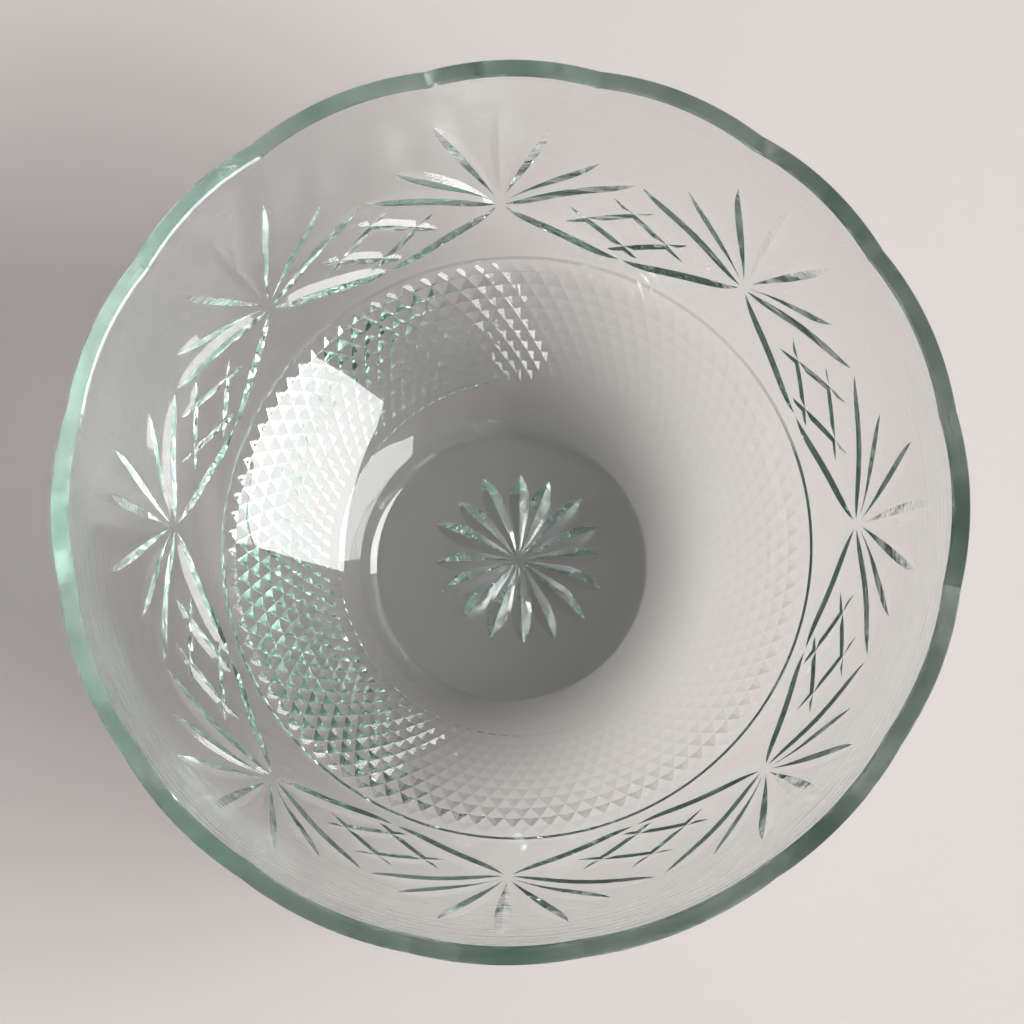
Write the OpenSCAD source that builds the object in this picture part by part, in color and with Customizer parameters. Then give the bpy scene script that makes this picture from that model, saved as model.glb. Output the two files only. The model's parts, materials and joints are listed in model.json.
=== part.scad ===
// Cut-glass mixing bowl. One real piece of glass, drawn as six zones that meet face to face:
// scalloped rim, fan-cut wall, ring groove, diamond band, heel and star base.
// Origin: centre of the flat underside, +Z up along the axis of the bowl. Millimetres.

/* [Overall] */
// Across the rim, outside
rim_d = 200; // [160:1:260]
// Underside to the top of the rim
height = 90; // [70:1:120]
// Across the heel, where the underside turns up into the diamond band
heel_d = 93; // [80:0.2:110]

/* [Outside shape] */
// Across the outside at the ring groove
waist_d = 147.2; // [125:0.2:158]
// Height of the ring groove above the underside
waist_z = 28; // [22:0.5:34]
// How far the wall swells outside a straight line, groove to rim
upper_swell = 3.8; // [2:0.1:6]
// How far the wall swells outside a straight line, heel to groove
lower_swell = 1.8; // [1:0.1:3]

/* [Glass thickness] */
// Wall at the rim, measured level
rim_t = 3.9; // [3:0.1:6]
// Wall at the ring groove, measured level
waist_t = 5.2; // [4.2:0.1:7]
// Floor of the bowl
floor_t = 8; // [6:0.1:12]
// Across the flat floor inside
floor_d = 68; // [54:1:74]

/* [Rim scallops] */
// Number of scallops round the rim
scallops = 16; // [12:2:20]
// How far the notch between two scallops drops below their crowns
notch_drop = 1.6; // [0.8:0.1:3]
// Height of the rim zone
rim_h = 12; // [9:0.5:16]

/* [Fans] */
// Number of fans, with one lozenge between each two
fans = 8; // [6:1:10]
// Height of the point the rays of a fan spring from
fan_z = 42; // [40:0.5:46]
// Length of the middle ray of a fan
ray_l = 34; // [24:0.5:36]
// Angle between neighbouring rays
ray_step = 27; // [20:1:30]
// Width of a ray at its widest
ray_w = 2.2; // [1.2:0.1:3]

/* [Lozenges] */
// Height of the upper point of a lozenge
lozenge_top_z = 54.5; // [51:0.5:60]
// Height of the lower point of a lozenge
lozenge_low_z = 32; // [31.5:0.5:36]
// Width of the lozenge edges
edge_w = 2.4; // [1.2:0.1:3]
// Width of the crossing cuts inside a lozenge
hatch_w = 1.5; // [0.8:0.1:2.4]

/* [Ring groove] */
// Width of the vee
groove_w = 2.2; // [1.2:0.1:3]
// Depth of the vee
groove_depth = 0.4; // [0.3:0.05:1.2]

/* [Diamond band] */
// Diamonds in one row round the bowl
diamonds = 96; // [80:2:112]
// Steps from the top of the band to the bottom, half a diamond each
diamond_rows = 11; // [9:1:13]
// Depth of the cuts at the top of the band
diamond_depth = 1.1; // [0.7:0.05:1.5]

/* [Heel] */
// Height of the heel above the table
heel_h = 6.5; // [3:0.1:8]
// Width of the flat outside the star base that the bowl also stands on
stand_w = 0.8; // [0.6:0.1:5]

/* [Star] */
// Rays of the star under the base
star_rays = 16; // [12:2:20]
// Across the tips of the star
star_d = 45; // [36:0.5:56]
// Width of a star ray at its widest
star_w = 4.6; // [2:0.1:5]
// Depth of a star ray at its widest
star_depth = 1.6; // [0.6:0.05:1.9]

/* [Part] */
// Zone to draw

/* [Hidden] */
$fn = 96;
glass = [0.80, 0.86, 0.84];
rim_z = height - rim_h;
groove_h = groove_w * 2.2;
band_top_z = waist_z - groove_w * 0.75;
fan_low_z = band_top_z + groove_h;
over = 5;

// Corners of the outer and inner outlines, [radius, height]
out_rim = [rim_d / 2, height];
out_waist = [waist_d / 2, waist_z];
out_heel = [heel_d / 2, heel_h];
stand_r = floor_d / 2 + stand_w;
in_rim = [rim_d / 2 - rim_t, height];
in_waist = [waist_d / 2 - waist_t, waist_z];
in_floor = [floor_d / 2, floor_t];
inner_upper_swell = upper_swell;
inner_lower_swell = lower_swell;

// Circle through points a and b that swells outside the line between them
function swell_r(a, b, swell) = (pow(norm(b - a), 2) / 4 + swell * swell) / (2 * swell);
function out_of(a, b) = [b[1] - a[1], a[0] - b[0]] / norm(b - a);
function swell_c(a, b, swell) = (a + b) / 2 - out_of(a, b) * (swell_r(a, b, swell) - swell);

upper_r = swell_r(out_waist, out_rim, upper_swell);
upper_c = swell_c(out_waist, out_rim, upper_swell);
lower_r = swell_r(out_heel, out_waist, lower_swell);
lower_c = swell_c(out_heel, out_waist, lower_swell);

// Outside radius of the wall above and below the ring groove
function wall_r(z) = upper_c[0] + sqrt(pow(upper_r, 2) - pow(z - upper_c[1], 2));
function wall_tilt(z) = asin((z - upper_c[1]) / upper_r);

// Everything between the axis and an outline of two swelling lines
module inside_of(low, mid, top, low_swell, top_swell) {
    polygon([[0, low[1]], low, mid, top, [top[0], top[1] + over], [0, top[1] + over]]);
    bulge(low, mid, low_swell);
    bulge(mid, top, top_swell);
}

// The sliver between a straight line and the circle that swells outside it
module bulge(a, b, swell) {
    n = out_of(a, b);
    intersection() {
        translate(swell_c(a, b, swell)) circle(r = swell_r(a, b, swell));
        polygon([a, b, b + 2 * swell * n, a + 2 * swell * n]);
    }
}

// Half section of the glass
module section() {
    difference() {
        union() {
            inside_of(out_heel, out_waist, out_rim, lower_swell, upper_swell);
            polygon([[0, 0], [stand_r, 0], out_heel, [0, heel_h]]);
        }
        hollow_section();
    }
}

// Half section of the space inside the bowl
module hollow_section() {
    inside_of(in_floor, in_waist, in_rim, inner_lower_swell, inner_upper_swell);
}

// The glass between two heights, outside a given radius
module zone(z0, z1, r0) {
    rotate_extrude() intersection() {
        section();
        translate([r0, z0]) square([rim_d, z1 - z0]);
    }
}

// Straight vee cut in the wall from [turn, height] to [turn, height]. The wall curves away from
// the cut at both ends, so the depth at its middle follows from its length.
module wall_cut(p, q, w) {
    turn = (p[0] + q[0]) / 2;
    z = (p[1] + q[1]) / 2;
    tilt = wall_tilt(z);
    across = (q[0] - p[0]) * PI / 180 * wall_r(z);
    up = (q[1] - p[1]) / cos(tilt);
    dir = atan2(up, across);
    len = norm([across, up]);
    wall_bend = cos(tilt) / wall_r(z) * pow(cos(dir), 2) + pow(sin(dir), 2) / upper_r;
    depth = len * len * wall_bend / 8;
    rotate([0, 0, turn]) translate([wall_r(z), 0, z]) rotate([0, 90 - tilt, 0])
        rotate([0, 0, 90 + dir]) translate([0, 0, -depth]) rotate([90, 0, 90])
            linear_extrude(len * 1.3, center = true)
                polygon([[0, 0], [w, 2 * depth], [-w, 2 * depth]]);
}

// Rays of one fan, springing from [0, fan_z]
module fan() {
    for (k = [-2 : 2]) {
        a = k * ray_step;
        l = ray_l * (1 - 0.07 * abs(k));
        rise = l * cos(a) * cos(wall_tilt(fan_z + ray_l / 2));
        spread = l * sin(a) / wall_r(fan_z + rise / 2) * 180 / PI;
        wall_cut([spread * 0.12, fan_z + rise * 0.12], [spread, fan_z + rise], ray_w);
    }
}

// Half of one lozenge with its crossing cuts, right of the fan at 0 when side is 1
module half_lozenge(side) {
    half = 180 / fans;
    z0 = fan_z - 1;
    tall = lozenge_top_z - lozenge_low_z;
    wall_cut([side * half * 0.06, fan_z + tall * 0.05], [side * half * 0.97, lozenge_top_z], edge_w);
    wall_cut([side * half * 0.06, fan_z - tall * 0.05], [side * half * 0.97, lozenge_low_z], edge_w);
    wall_cut([side * half * 0.5, z0 - tall * 0.14], [side * half * 1.15, z0 + tall * 0.22], hatch_w);
    wall_cut([side * half * 0.52, z0 + tall * 0.06], [side * half * 1.15, z0 - tall * 0.32], hatch_w);
}

// Outside radius at a row of the diamond band, its height, and the lean of the wall there
row_shrink = pow(out_heel[0] / out_waist[0], 1 / diamond_rows);
band_lap = 0.3;
band_a0 = asin((heel_h - band_lap - lower_c[1]) / lower_r);
band_a1 = asin((band_top_z + band_lap - lower_c[1]) / lower_r);
function row_part(j) = (1 - pow(row_shrink, j)) / (1 - pow(row_shrink, diamond_rows));
function row_a(j) = band_a1 + (band_a0 - band_a1) * row_part(j);
function row_depth(j) = diamond_depth * pow(row_shrink, j);
function at_end(j) = j == 0 || j == diamond_rows;
function row_r(j, d) = at_end(j)
    ? lower_c[0] + lower_r * cos(row_a(j)) - d / cos(row_a(j))
    : lower_c[0] + (lower_r - d) * cos(row_a(j));
function row_z(j, d) = lower_c[1] + (at_end(j) ? lower_r : lower_r - d) * sin(row_a(j));

// Solid plug whose side is a lattice of four-sided points, every second corner cut deep. It runs
// a little past both ends of its zone, so that the ends are cut flat.
module diamond_plug() {
    cols = 2 * diamonds;
    skin = 0.05;
    corners = [
        for (j = [0 : diamond_rows]) for (c = [0 : cols - 1])
            let (d = (c + j) % 2 == 0 ? row_depth(j) : skin)
            [row_r(j, d) * cos(c * 360 / cols), row_r(j, d) * sin(c * 360 / cols), row_z(j, d)]
    ];
    facets = [
        for (j = [0 : diamond_rows - 1]) for (c = [0 : cols - 1])
            let (a = j * cols + c, b = j * cols + (c + 1) % cols, e = a + cols, f = b + cols)
            each (c + j) % 2 == 0 ? [[a, b, f], [a, f, e]] : [[a, b, e], [b, f, e]]
    ];
    top = [for (c = [cols - 1 : -1 : 0]) c];
    low = [for (c = [0 : cols - 1]) diamond_rows * cols + c];
    polyhedron(points = corners, faces = concat(facets, [top, low]));
}

// Four-sided pointed cut under the base, from just off the middle to the tip of one ray
module star_ray() {
    tip = star_d / 2;
    wide = tip * 0.6;
    start = tip * 0.09;
    below = 0.1;
    grow = 1 + below / star_depth;
    kite = [[start, 0], [wide, star_w / 2], [tip, 0], [wide, -star_w / 2]];
    outline = [for (p = kite) [wide + (p[0] - wide) * grow, p[1] * grow, -below]];
    polyhedron(points = concat(outline, [[wide, 0, star_depth]]),
        faces = [[3, 2, 1, 0], [0, 1, 4], [1, 2, 4], [2, 3, 4], [3, 0, 4]]);
}

// Notch between two scallops, shaped by the crowns on its two sides
module notch() {
    chord = PI * rim_d / scallops;
    lift = 0.12;
    crown = swell_r([0, 0], [chord, 0], notch_drop + lift);
    flat = sqrt(2 * crown * lift);
    translate([rim_d / 2 - rim_t * 3, 0, height]) rotate([90, 0, 90]) linear_extrude(rim_t * 5)
        difference() {
            translate([-chord / 2 + flat / 2, -notch_drop - 1]) square([chord - flat, notch_drop + 2]);
            for (s = [-1, 1]) translate([s * chord / 2, lift - crown]) circle(r = crown);
        }
}

module rim() {
    color(glass) difference() {
        zone(rim_z, height, 0);
        for (k = [0 : scallops - 1]) rotate([0, 0, (k + 0.5) * 360 / scallops]) notch();
    }
}

module fan_wall() {
    color(glass) difference() {
        zone(fan_low_z, rim_z, 0);
        for (k = [0 : fans - 1]) rotate([0, 0, k * 360 / fans]) {
            fan();
            half_lozenge(1);
            half_lozenge(-1);
        }
    }
}

module groove_ring() {
    color(glass) difference() {
        zone(band_top_z, fan_low_z, 0);
        rotate_extrude() translate([wall_r(waist_z), waist_z]) rotate(wall_tilt(waist_z))
            polygon([[-groove_depth, 0], [groove_depth, groove_w], [groove_depth, -groove_w]]);
    }
}

module diamond_band() {
    color(glass) intersection() {
        diamond_plug();
        rotate_extrude() difference() {
            translate([floor_d / 2, heel_h]) square([waist_d / 2, band_top_z - heel_h]);
            hollow_section();
        }
    }
}

module heel_ring() {
    color(glass) rotate_extrude() difference() {
        polygon([[floor_d / 2, 0], [stand_r, 0], out_heel, [floor_d / 2, heel_h]]);
        hollow_section();
    }
}

module star_base() {
    color(glass) difference() {
        cylinder(d = floor_d, h = floor_t);
        for (k = [0 : star_rays - 1]) rotate([0, 0, k * 360 / star_rays]) star_ray();
    }
}

rim();
fan_wall();
groove_ring();
diamond_band();
heel_ring();
star_base();
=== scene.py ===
# Cut-glass mixing bowl: one piece of clear, faintly green glass, wheel cut and polished.
# Lengths are in millimetres until a mesh is made, then metres.
import json
import math
import bmesh
import bpy
import numpy as np
from mathutils import Matrix, Vector

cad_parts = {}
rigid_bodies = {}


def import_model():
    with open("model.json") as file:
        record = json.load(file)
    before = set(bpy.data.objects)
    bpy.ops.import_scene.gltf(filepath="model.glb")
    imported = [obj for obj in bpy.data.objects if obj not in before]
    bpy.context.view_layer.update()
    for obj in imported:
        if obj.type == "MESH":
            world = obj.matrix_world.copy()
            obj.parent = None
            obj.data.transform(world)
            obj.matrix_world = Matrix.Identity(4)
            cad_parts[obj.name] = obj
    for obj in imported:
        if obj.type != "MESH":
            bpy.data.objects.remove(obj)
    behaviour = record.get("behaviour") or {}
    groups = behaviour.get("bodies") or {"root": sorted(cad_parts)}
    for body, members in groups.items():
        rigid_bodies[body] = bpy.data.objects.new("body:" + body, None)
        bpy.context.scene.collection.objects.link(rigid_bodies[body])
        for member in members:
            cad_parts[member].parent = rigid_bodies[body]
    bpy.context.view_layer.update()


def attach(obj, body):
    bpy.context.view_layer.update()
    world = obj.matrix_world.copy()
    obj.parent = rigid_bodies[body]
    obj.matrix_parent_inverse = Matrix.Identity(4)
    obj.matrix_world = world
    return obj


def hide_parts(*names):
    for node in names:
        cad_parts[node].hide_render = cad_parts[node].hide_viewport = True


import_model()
print("frame: loaded")

mm = 0.001
columns = 384  # points round the bowl, four to each diamond


# ---------- shape of the bowl ----------
outline = {
    "rim": (100.0, 89.99), "waist": (73.6, 28.0), "heel": (46.5, 6.5),
    "standOff": (-1.6, -1.4),  # the ground flat came out a little to one side
    "upperSwell": 3.8, "lowerSwell": 1.8,
    "rimThick": 3.9, "waistThick": 5.2, "floorThick": 8.0, "floorR": 34.0,
    "innerUpperSwell": 3.8, "innerLowerSwell": 1.8,
    "floorOff": (-1.7, -2.2), "onAxisR": 62.0,  # the floor inside is off centre, the wall past onAxisR isn't
    "lipRise": 0.25, "lipRun": 2.0, "lipReach": 14.0,  # low swelling round the floor
    "rimPartZ": 76.0,  # above this the rows follow the scallops
    # the underside comes down from the heel to the ground flat
    "underside": ((46.1, 6.3), (43, 4.9), (40, 3.4), (37.5, 2), (36.1, 1), (35.3, 0.4), (34.8, 0)),
}


def swellCircle(a, b, swell):  # centre and radius of the circle through a and b, swelling outward
    a, b = np.array(a, float), np.array(b, float)
    chord = np.linalg.norm(b - a)
    radius = (chord ** 2 / 4 + swell ** 2) / (2 * swell)
    outward = np.array([b[1] - a[1], a[0] - b[0]]) / chord
    return (a + b) / 2 - outward * (radius - swell), radius


o = outline
innerRim = (o["rim"][0] - o["rimThick"], o["rim"][1])
innerWaist = (o["waist"][0] - o["waistThick"], o["waist"][1])
innerFloor = (o["floorR"], o["floorThick"])
upperC, upperR = swellCircle(o["waist"], o["rim"], o["upperSwell"])
lowerC, lowerR = swellCircle(o["heel"], o["waist"], o["lowerSwell"])
inUpperC, inUpperR = swellCircle(innerWaist, innerRim, o["innerUpperSwell"])
inLowerC, inLowerR = swellCircle(innerFloor, innerWaist, o["innerLowerSwell"])


def arcRadius(z, c, r):  # radius of the bowl where a profile circle passes height z
    return c[0] + np.sqrt(np.maximum(r * r - (z - c[1]) ** 2, 0))


def wallRadius(z):  # outside of the wall
    z = np.asarray(z, float)
    return np.where(z > o["waist"][1], arcRadius(z, upperC, upperR), arcRadius(z, lowerC, lowerR))


def wallNormal(z):  # (radial, upward) parts of the outside normal
    z = np.asarray(z, float)
    up = np.where(z > o["waist"][1], (z - upperC[1]) / upperR, (z - lowerC[1]) / lowerR)
    return np.sqrt(1 - up ** 2), up


def innerRadius(z):
    z = np.asarray(z, float)
    return np.where(z > innerWaist[1], arcRadius(z, inUpperC, inUpperR), arcRadius(z, inLowerC, inLowerR))


# ---------- scalloped rim ----------
scallop = {
    "count": 16, "drop": 1.6, "innerBevel": 0.45, "outerBevel": 0.3,
    # how far each notch strays from its even place, in degrees
    "stray": (-1.7, -1.3, -2.1, -1.9, -1.3, 0.6, -0.4, -1.5, -1.6, -0.8, -2.0, -2.0, -2.9, -0.2, 0.0, -1.6),
}
evenTurn = np.arange(columns) * 360.0 / columns
pitch = 360.0 / scallop["count"]
notchEven = (np.arange(scallop["count"]) + 0.5) * pitch
stray = np.interp(evenTurn, notchEven, scallop["stray"], period=360)  # shift of each column at the rim
across = ((evenTurn - notchEven[0]) % pitch) / pitch * 2 - 1  # -1 and 1 at the notches, 0 at a crown
rimTop = o["rim"][1] - scallop["drop"] * across ** 2


def ring(radius, height, shift):  # one row of points: radius and height may change with the turn
    turn = np.radians(evenTurn + stray * shift)
    radius, height = np.broadcast_to(radius, columns), np.broadcast_to(height, columns)
    return np.stack([radius * np.cos(turn), radius * np.sin(turn), height], 1)


def rimShift(z):  # the rim's stray fades out down the wall
    return np.clip((np.mean(z) - o["waist"][1]) / (o["rim"][1] - o["waist"][1]), 0, 1)


def offCentre(points, part):  # the floor inside was pressed a little to one side
    points[:, :2] += np.array(o["floorOff"]) * part
    return points


# ---------- diamond band and ring groove ----------
diamond = {
    "rows": 11, "depth": 1.0, "topZ": 26.8, "lowZ": 6.5, "firstDepth": 0.75, "lastDepth": 0.35,
    # the wheel bit deeper on one side of the bowl, round this turn, than on the other
    "least": 0.4, "more": 0.65, "moreTurn": 166.0, "moreEdge": 0.3, "moreEase": 7.0,
}
groove = {"width": 2.4, "depth": 0.38}
towards = np.cos(np.radians(evenTurn - diamond["moreTurn"])) - diamond["moreEdge"]
sideDepth = diamond["least"] + diamond["more"] / (1 + np.exp(-diamond["moreEase"] * towards))


def latticeRow(j):  # every second point of a row is a crossing of two cuts, the rest are points
    d = diamond
    shrink = (o["heel"][0] / o["waist"][0]) ** (1 / d["rows"])
    part = (1 - shrink ** j) / (1 - shrink ** d["rows"])
    a0, a1 = (math.asin((z - lowerC[1]) / lowerR) for z in (d["topZ"], d["lowZ"]))
    lean = a0 + (a1 - a0) * part
    deep = d["depth"] * shrink ** j * {0: d["firstDepth"], d["rows"]: d["lastDepth"]}.get(j, 1)
    deep = deep * sideDepth
    k = np.arange(columns)
    cut = np.where((k // 2 + j) % 2 == 0, deep, 0.0)
    cut = np.where(k % 2 == 1, deep / 2, cut)  # half way between a crossing and a point
    flatEnd = j in (0, d["rows"])  # at both ends the cuts go in level, so the rows stay flat
    radius = lowerC[0] + lowerR * math.cos(lean) - cut * (1 / math.cos(lean) if flatEnd else math.cos(lean))
    height = lowerC[1] + lowerR * math.sin(lean) - cut * (0 if flatEnd else math.sin(lean))
    return ring(radius, height, 0)


# ---------- the uncut body, as one closed skin ----------
def centred(radius):  # 1 on the floor, 0 where the wall is back on the axis of the bowl
    return np.clip((o["onAxisR"] - radius) / (o["onAxisR"] - innerFloor[0]), 0, 1)


def bodyRows():  # rows of points from the middle of the floor, over the rim, to the underside
    rows, lattice, splitZ = [], [], o["rimPartZ"]
    x = o["lipReach"] * np.linspace(0, 1, 19) ** 1.7
    lipR = innerFloor[0] + x
    lipZ = inLowerC[1] - np.sqrt(inLowerR ** 2 - (lipR - inLowerC[0]) ** 2)
    lipZ += o["lipRise"] * (1 - np.exp(-x / o["lipRun"])) * (0.5 + 0.5 * np.cos(np.pi * x / o["lipReach"]))
    for r in np.linspace(26, innerFloor[0], 3)[:-1]:
        rows.append(offCentre(ring(r, innerFloor[1], 0), 1))
    for r, z in zip(lipR, lipZ):
        rows.append(offCentre(ring(r, z, 0), centred(r)))
    low = np.linspace(lipZ[-1], innerWaist[1] - 1.5, 9)[1:]
    bend = innerWaist[1] + np.array([-0.8, 0, 0.8])
    for z in np.concatenate([low, bend, np.linspace(innerWaist[1] + 1.5, splitZ, 26)]):
        rows.append(offCentre(ring(innerRadius(z), z, rimShift(z)), centred(innerRadius(z))))
    bevel = rimTop - scallop["innerBevel"]
    for t in np.linspace(0, 1, 9)[1:]:
        z = splitZ + (bevel - splitZ) * t
        rows.append(ring(innerRadius(z), z, rimShift(z)))
    flatIn = innerRadius(rimTop) + scallop["innerBevel"] * 0.9
    flatOut = wallRadius(rimTop) - scallop["outerBevel"]
    rows.append(ring(flatIn, rimTop, 1))
    rows.append(ring(flatIn + (flatOut - flatIn) / 2, rimTop, 1))
    rows.append(ring(flatOut, rimTop, 1))
    bevel = rimTop - scallop["outerBevel"]
    for t in np.linspace(0, 1, 9):
        z = bevel + (splitZ - bevel) * t
        rows.append(ring(wallRadius(z), z, rimShift(z)))
    zLip = o["waist"][1] + groove["width"] / 2 * wallNormal(o["waist"][1] + 1)[0]
    for z in np.linspace(splitZ, zLip, 32)[1:]:
        rows.append(ring(wallRadius(z), z, rimShift(z)))
    nr, nz = wallNormal(o["waist"][1])
    rows.append(ring(o["waist"][0] - groove["depth"] * nr, o["waist"][1] - groove["depth"] * nz, 0))
    zLip = o["waist"][1] - groove["width"] / 2 * wallNormal(o["waist"][1])[0]
    rows.append(ring(wallRadius(zLip), zLip, 0))
    lattice.append(len(rows))
    rows += [latticeRow(j) for j in range(diamond["rows"] + 1)]
    lattice.append(len(rows) - 1)
    standR = o["underside"][-1][0]
    for r, z in o["underside"]:
        edge = ring(r, z, 0)
        edge[:, :2] += np.array(o["standOff"]) * (o["heel"][0] - r) / (o["heel"][0] - standR)
        rows.append(edge)
    return np.array(rows), lattice


def skinFaces(rowCount, lattice):  # quads between rows, but triangles folded along the cuts in the lattice
    k = np.arange(columns)
    nxt = (k + 1) % columns
    faces = []
    for j in range(rowCount - 1):
        a, b, c, d = j * columns + k, j * columns + nxt, (j + 1) * columns + nxt, (j + 1) * columns + k
        if lattice[0] <= j < lattice[1]:
            k2 = np.arange(0, columns, 2)
            p, q, r = k2, k2 + 1, (k2 + 2) % columns
            up, low = j * columns, (j + 1) * columns
            cutFirst = ((k2 // 2 + (j - lattice[0])) % 2 == 0)[:, None]
            down = [(up + p, low + r, up + q), (up + q, low + r, up + r),
                    (up + p, low + q, low + r), (up + p, low + p, low + q)]
            other = [(up + p, low + p, up + q), (up + q, low + p, up + r),
                     (up + r, low + p, low + q), (up + r, low + q, low + r)]
            for x, y in zip(down, other):
                faces += np.where(cutFirst, np.stack(x, 1), np.stack(y, 1)).tolist()
        else:
            faces += np.stack([a, d, c, b], 1).tolist()
    faces.append(list(range(columns)))  # floor
    faces.append([(rowCount - 1) * columns + i for i in range(columns - 1, -1, -1)])  # underside
    return faces


def makeMesh(name, points, faces):
    mesh = bpy.data.meshes.new(name)
    mesh.from_pydata((np.asarray(points) * mm).tolist(), [], faces)
    mesh.update()
    thing = bpy.data.objects.new(name, mesh)
    bpy.context.scene.collection.objects.link(thing)
    return thing


rows, lattice = bodyRows()
bowlGlass = makeMesh("bowlGlass", rows.reshape(-1, 3), skinFaces(len(rows), lattice))
b = bmesh.new()
b.from_mesh(bowlGlass.data)
bmesh.ops.recalc_face_normals(b, faces=b.faces)
b.to_mesh(bowlGlass.data)
b.free()
print("body:", len(bowlGlass.data.vertices), "points")


# ---------- wheel cuts ----------
# A cut is a vee carried along a path on the glass. Its depth rises and falls along the path, and its
# width follows from the depth, so the ends run out to points as the ends of a wheel's cut do.
cuts = {
    "steps": 32,
    "clear": 0.7, "over": 0.04,  # how far the cutter stands clear of the glass, above it and at its ends
    "ray": {"wide": 4.4, "deep": 0.77, "blunt": 2.4, "lead": 1.4},
    "middle": {"wide": 4.4, "deep": 0.6, "blunt": 2.4, "lead": 1.4},  # shallower, up the middle of a fan
    "edge": {"wide": 5.0, "deep": 0.87, "blunt": 4.0, "lead": 1.0},
    "hatch": {"wide": 3.6, "deep": 0.62, "blunt": 3.0, "lead": 1.0},
    "star": {"wide": 4.9, "deep": 1.85, "blunt": 2.0, "lead": 1.4},
}
# fan places in degrees and the heights of their springing points, listed one by one; the real ones were set
# out by eye
fans = {
    "turn": (0.0, 46.0, 91.3, 135.8, 177.6, 224.6, 267.8, 315.0), "z": 42.0,
    "length": 34.0, "step": 27.0, "shorter": 0.07, "rise": 0.95, "start": (0.04, 0.03),
    "turnStray": 2.5, "lengthStray": 1.5, "depthStray": 0.12,
}
# lozenge corners as heights, and places along a lozenge as parts of its half width
lozenges = {
    "topZ": (54.8, 53.7, 52.0, 52.3, 54.0, 54.3, 56.5, 54.8), "lowZ": 31.4, "bow": -1.0,
    "start": 0.03, "startUp": 0.2, "startDown": 0.5, "topGap": 0.02, "lowGap": 0.01,
    "hatchUp": (-0.50, 0.16, 37.8, 47.6), "hatchDown": (-0.48, 0.18, 43.0, 32.3), "hatchStray": 0.5,
}
star = {"count": 16, "tip": 22.4, "start": 0.6, "turnStray": 2.0, "tipStray": 1.2, "depthStray": 0.08}
cutterPoints, cutterFaces = [], []


def addCutter(path, normal, kind, strength=1.0):  # path and normal: one row for each step
    c = cuts[kind]
    u = np.linspace(0, 1, len(path))
    rise = 1 - np.abs(2 * u ** c["lead"] - 1) ** c["blunt"]  # 0 at the ends, 1 at the deepest place
    deep = (rise * (1 + 2 * cuts["over"]) - cuts["over"]) * c["deep"] * strength
    along = np.gradient(path, axis=0)
    side = np.cross(normal, along)
    side /= np.linalg.norm(side, axis=1)[:, None]
    reach = (cuts["clear"] + deep) * c["wide"] / 2 / c["deep"]
    valley = path - normal * deep[:, None]
    lid = path + normal * cuts["clear"]
    base = sum(len(p) for p in cutterPoints)
    corners = np.stack([valley, lid + side * reach[:, None], lid - side * reach[:, None]], 1)
    cutterPoints.append(corners.reshape(-1, 3))
    i = base + 3 * np.arange(len(path) - 1)
    for x, y in ((0, 1), (1, 2), (2, 0)):
        cutterFaces.extend(np.stack([i + x, i + y, i + 3 + y, i + 3 + x], 1).tolist())
    last = base + 3 * (len(path) - 1)
    cutterFaces.extend([[base, base + 2, base + 1], [last, last + 1, last + 2]])


def wallCut(turns, heights, kind, bow=0.0, strength=1.0):  # turn and height run evenly along the cut
    u = np.linspace(0, 1, cuts["steps"])
    turn = np.radians(turns[0] + (turns[1] - turns[0]) * u)
    z = heights[0] + (heights[1] - heights[0]) * u + bow * 4 * u * (1 - u)
    radius, (nr, nz) = wallRadius(z), wallNormal(z)
    path = np.stack([radius * np.cos(turn), radius * np.sin(turn), z], 1)
    addCutter(path, np.stack([nr * np.cos(turn), nr * np.sin(turn), nz], 1), kind, strength)


hand = np.random.default_rng(7)  # small unevenness of hand work, the same on every run


def wander(size):
    return float(hand.uniform(-size, size))


def cutFan(turn, z):
    f = fans
    for k in range(-2, 3):
        lean = math.radians(k * f["step"] + wander(f["turnStray"]))
        length = f["length"] * (1 - f["shorter"] * abs(k)) + wander(f["lengthStray"])
        rise = length * math.cos(lean) * f["rise"]
        spread = math.degrees(length * math.sin(lean) / float(wallRadius(z + rise / 2)))
        turns = (turn + spread * f["start"][0], turn + spread)
        heights = (z + 0.5 + rise * f["start"][1], z + rise)
        wallCut(turns, heights, "ray" if k else "middle", strength=1 + wander(f["depthStray"]))


def cutLozenge(left, right, topZ):
    z, f = fans["z"], lozenges
    mid, half = (left + right) / 2, (right - left) / 2
    for s in (-1, 1):
        start = mid - s * half + s * half * f["start"]
        top, low = mid - s * half * f["topGap"], mid - s * half * f["lowGap"]
        wallCut((start, top), (z + f["startUp"], topZ), "edge")
        wallCut((start, low), (z - f["startDown"], f["lowZ"]), "edge", bow=f["bow"])
        for a, b, startZ, endZ in (f["hatchUp"], f["hatchDown"]):
            heights = (startZ + wander(f["hatchStray"]), endZ + wander(f["hatchStray"]))
            wallCut((mid + s * half * a, mid + s * half * b), heights, "hatch")


for n, turn in enumerate(fans["turn"]):
    cutFan(turn, fans["z"])
    following = fans["turn"][(n + 1) % 8] + (360 if n == 7 else 0)
    cutLozenge(turn, following, lozenges["topZ"][n])
for n in range(star["count"]):
    a = math.radians(n * 360 / star["count"] + wander(star["turnStray"]))
    tip = star["tip"] + wander(star["tipStray"])
    reach = np.linspace(star["start"], tip, cuts["steps"])
    ray = np.stack([reach * math.cos(a), reach * math.sin(a), reach * 0], 1)
    addCutter(ray, np.tile([0.0, 0.0, -1.0], (len(ray), 1)), "star", 1 + wander(star["depthStray"]))

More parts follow.
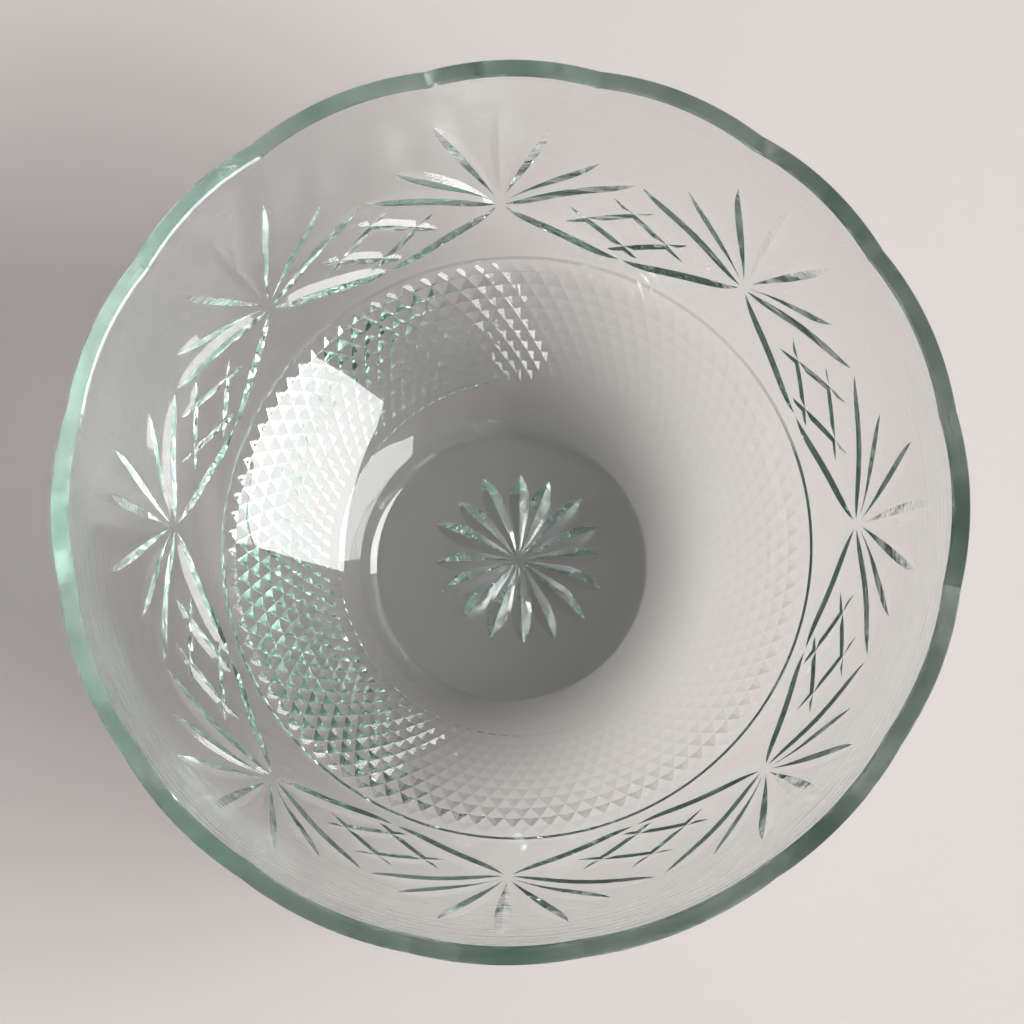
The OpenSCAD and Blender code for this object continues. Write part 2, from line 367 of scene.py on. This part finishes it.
cutter = makeMesh("cutter", np.concatenate(cutterPoints), cutterFaces)
b = bmesh.new()
b.from_mesh(cutter.data)
bmesh.ops.recalc_face_normals(b, faces=b.faces)
b.to_mesh(cutter.data)
b.free()
cutting = bowlGlass.modifiers.new("cuts", "BOOLEAN")
cutting.operation, cutting.solver, cutting.use_self, cutting.object = "DIFFERENCE", "EXACT", True, cutter
bpy.context.view_layer.update()
cutMesh = bpy.data.meshes.new_from_object(bowlGlass.evaluated_get(bpy.context.evaluated_depsgraph_get()))
bowlGlass.modifiers.clear()
bowlGlass.data = cutMesh
cutMesh.name = "bowlGlass"
bpy.data.objects.remove(cutter)
print("cuts:", len(cutMesh.vertices), "points,", len(cutMesh.polygons), "faces")


# ---------- smooth curved glass, crisp cuts ----------
def polish(mesh):  # faces left on the wall keep the true normals of the wall, cut faces keep their own
    mesh.shade_smooth()
    mesh.set_sharp_from_angle(angle=math.radians(9))
    co = np.empty(len(mesh.vertices) * 3)
    mesh.vertices.foreach_get("co", co)
    co = co.reshape(-1, 3) / mm
    radius, z = np.hypot(co[:, 0], co[:, 1]), co[:, 2]
    onWall = (np.abs(radius - wallRadius(z)) < 0.02) & (z > o["waist"][1] + 0.5)
    corner = np.empty(len(mesh.loops) * 3)
    mesh.corner_normals.foreach_get("vector", corner)
    corner = corner.reshape(-1, 3)
    loopVertex = np.empty(len(mesh.loops), int)
    mesh.loops.foreach_get("vertex_index", loopVertex)
    start, total = np.empty(len(mesh.polygons), int), np.empty(len(mesh.polygons), int)
    mesh.polygons.foreach_get("loop_start", start)
    mesh.polygons.foreach_get("loop_total", total)
    faceOn = np.logical_and.reduceat(onWall[loopVertex], start)
    loopOn = np.repeat(faceOn, total)
    turn = np.arctan2(co[:, 1], co[:, 0])
    nr, nz = wallNormal(z)
    true = np.stack([nr * np.cos(turn), nr * np.sin(turn), nz], 1)
    corner[loopOn] = true[loopVertex[loopOn]]
    mesh.normals_split_custom_set(corner.tolist())


polish(cutMesh)
b = bmesh.new()
b.from_mesh(cutMesh)
print("open edges:", sum(not e.is_manifold for e in b.edges), "volume ml:", round(b.calc_volume() * 1e6, 1))
b.free()


# ---------- glass ----------
def linear(hexColour):  # sRGB hex to linear
    part = np.array([int(hexColour[i:i + 2], 16) for i in (1, 3, 5)]) / 255
    return (*np.where(part <= 0.04045, part / 12.92, ((part + 0.055) / 1.055) ** 2.4).tolist(), 1.0)


def addNode(tree, kind, settings=None, links=None):  # settings by socket or property name, links by socket
    node = tree.nodes.new(kind)
    for key, value in (settings or {}).items():
        if key in node.inputs:
            node.inputs[key].default_value = value
        else:
            setattr(node, key, value)
    for key, source in (links or {}).items():
        tree.links.new(source, node.inputs[key])
    return node


# Soda-lime glass, blown thick, wheel cut and polished. Iron gives it a green that only shows along the
# length of the wall, so it is in the body of the glass and not on its skin.
glassFinish = {
    "ior": 1.52, "tint": "#FFFFFF", "edgeColour": "#BCD4CB", "density": 20.0,
    # the top of the rim is ground and less polished
    "rimRoughness": 0.16, "rimZ": (0.0875, 0.0880), "rimFacing": (0.8, 0.9),
}
glass = bpy.data.materials.new("sodaLimeGlassCutAndPolished")
glass.use_nodes = True
tree = glass.node_tree
tree.nodes.clear()
spot = addNode(tree, "ShaderNodeTexCoord")
high = addNode(tree, "ShaderNodeSeparateXYZ", None, {"Vector": spot.outputs["Object"]})
shape = addNode(tree, "ShaderNodeNewGeometry")
faced = addNode(tree, "ShaderNodeSeparateXYZ", None, {"Vector": shape.outputs["Normal"]})
g = glassFinish
nearRim = addNode(tree, "ShaderNodeMapRange", {
    "From Min": g["rimZ"][0], "From Max": g["rimZ"][1], "To Max": g["rimRoughness"]},
    {"Value": high.outputs["Z"]})
onTop = addNode(tree, "ShaderNodeMapRange", {
    "From Min": g["rimFacing"][0], "From Max": g["rimFacing"][1]}, {"Value": faced.outputs["Z"]})
ground = addNode(tree, "ShaderNodeMath", {"operation": "MULTIPLY"})
tree.links.new(nearRim.outputs[0], ground.inputs[0])
tree.links.new(onTop.outputs[0], ground.inputs[1])
# Faint lines about a millimetre apart run round the upper wall, left by turning the bowl on the polisher.
lines = {"round": 2.2, "up": 900.0, "detail": 3.0, "from": 0.040, "to": 0.056, "height": 0.00005}
behind = addNode(tree, "ShaderNodeMath", {"operation": "MULTIPLY"})
tree.links.new(high.outputs["X"], behind.inputs[0])
behind.inputs[1].default_value = -1.0
around = addNode(tree, "ShaderNodeMath", {"operation": "ARCTAN2"})  # its seam is at +X
tree.links.new(high.outputs["Y"], around.inputs[0])
tree.links.new(behind.outputs[0], around.inputs[1])
spread = addNode(tree, "ShaderNodeCombineXYZ", None, {"X": around.outputs[0], "Y": high.outputs["Z"]})
drawn = addNode(tree, "ShaderNodeVectorMath", {"operation": "MULTIPLY"})
tree.links.new(spread.outputs[0], drawn.inputs[0])
drawn.inputs[1].default_value = (lines["round"], lines["up"], 1.0)
streaks = addNode(tree, "ShaderNodeTexNoise", {"Scale": 1.0, "Detail": lines["detail"]},
                  {"Vector": drawn.outputs[0]})
upper = addNode(tree, "ShaderNodeMapRange", {"From Min": lines["from"], "From Max": lines["to"]},
                {"Value": high.outputs["Z"]})
wavy = addNode(tree, "ShaderNodeBump", {"Distance": lines["height"]},
               {"Strength": upper.outputs[0], "Height": streaks.outputs[0]})
skin = addNode(tree, "ShaderNodeBsdfPrincipled", {
    "Base Color": linear(glassFinish["tint"]), "IOR": glassFinish["ior"], "Transmission Weight": 1.0},
    {"Roughness": ground.outputs[0], "Normal": wavy.outputs[0]})
body = addNode(tree, "ShaderNodeVolumeAbsorption", {
    "Color": linear(glassFinish["edgeColour"]), "Density": glassFinish["density"]})
addNode(tree, "ShaderNodeOutputMaterial", None, {"Surface": skin.outputs[0], "Volume": body.outputs[0]})
cutMesh.materials.append(glass)

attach(bowlGlass, "root")
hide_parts("rim", "fan_wall", "groove_ring", "diamond_band", "heel_ring", "star_base")
print("glass: finished")


# ---------- room ----------
room = {
    "floorColour": "#BDB6B3", "floorRoughness": 0.9, "floorHalf": 3.0, "floorDrop": 0.0003,
    "windowTurn": -14.5, "windowRise": 29.0, "windowAway": 4.0, "windowSize": (3.2, 3.0),
    "windowPower": 385.0, "farSide": 0.11, "windowSide": 0.75, "ceiling": 0.24,
}
floorMesh = bpy.data.meshes.new("floor")
half = room["floorHalf"]
floorCorners = [(-half, -half, 0), (half, -half, 0), (half, half, 0), (-half, half, 0)]
floorMesh.from_pydata(floorCorners, [], [(0, 1, 2, 3)])
floor = bpy.data.objects.new("floor", floorMesh)
bpy.context.scene.collection.objects.link(floor)
floor.location.z = -room["floorDrop"]
floorPaint = bpy.data.materials.new("paleMattFloor")
floorPaint.use_nodes = True
matt = floorPaint.node_tree.nodes["Principled BSDF"]
matt.inputs["Base Color"].default_value = linear(room["floorColour"])
matt.inputs["Roughness"].default_value = room["floorRoughness"]
floorMesh.materials.append(floorPaint)

turn, rise = math.radians(room["windowTurn"]), math.radians(room["windowRise"])
toWindow = Vector((math.cos(turn) * math.cos(rise), math.sin(turn) * math.cos(rise), math.sin(rise)))
lamp = bpy.data.lights.new("window", "AREA")
lamp.shape = "RECTANGLE"
lamp.size, lamp.size_y = room["windowSize"]
lamp.energy = room["windowPower"]
window = bpy.data.objects.new("window", lamp)
window.location = toWindow * room["windowAway"]
window.rotation_euler = toWindow.to_track_quat("Z", "Y").to_euler()
bpy.context.scene.collection.objects.link(window)

world = bpy.data.worlds.new("room")
bpy.context.scene.world = world
world.use_nodes = True
sky = world.node_tree
sky.nodes.clear()
where = addNode(sky, "ShaderNodeTexCoord")
facingWindow = addNode(sky, "ShaderNodeVectorMath", {"operation": "DOT_PRODUCT"})
sky.links.new(where.outputs["Generated"], facingWindow.inputs[0])
facingWindow.inputs[1].default_value = (math.cos(turn), math.sin(turn), 0)
shade = addNode(sky, "ShaderNodeMapRange", {"From Min": -0.1, "From Max": 0.9, "To Min": room["farSide"],
                "To Max": room["windowSide"], "interpolation_type": "SMOOTHSTEP"},
                {"Value": facingWindow.outputs["Value"]})
height = addNode(sky, "ShaderNodeSeparateXYZ", None, {"Vector": where.outputs["Generated"]})
ceiling = addNode(sky, "ShaderNodeMapRange", {"From Min": 0.5, "From Max": 1.0, "To Max": room["ceiling"],
                  "interpolation_type": "SMOOTHSTEP"}, {"Value": height.outputs["Z"]})
both = addNode(sky, "ShaderNodeMath", {"operation": "ADD"})
sky.links.new(shade.outputs[0], both.inputs[0])
sky.links.new(ceiling.outputs[0], both.inputs[1])
glow = addNode(sky, "ShaderNodeBackground", {"Color": (1, 1, 1, 1)}, {"Strength": both.outputs[0]})
addNode(sky, "ShaderNodeOutputWorld", None, {"Surface": glow.outputs[0]})

view = {"place": (15.1, -93.0, 591.4), "right": (0.9993, -0.0191, -0.0317), "up": (0.0244, 0.9842, 0.1752),
        "lens": 82.6}
lens = bpy.data.cameras.new("camera")
lens.lens, lens.sensor_width = view["lens"], 36.0
camera = bpy.data.objects.new("camera", lens)
right, up = Vector(view["right"]).normalized(), Vector(view["up"]).normalized()
facing = Matrix((right, up, right.cross(up))).transposed()
camera.matrix_world = Matrix.Translation(Vector(view["place"]) * mm) @ facing.to_4x4()
bpy.context.scene.collection.objects.link(camera)
bpy.context.scene.camera = camera
cycles = bpy.context.scene.cycles  # light runs far along inside a glass wall
cycles.max_bounces, cycles.glossy_bounces, cycles.transmission_bounces = 32, 32, 32
bpy.context.scene.view_settings.view_transform = "Standard"
print("room: ready")
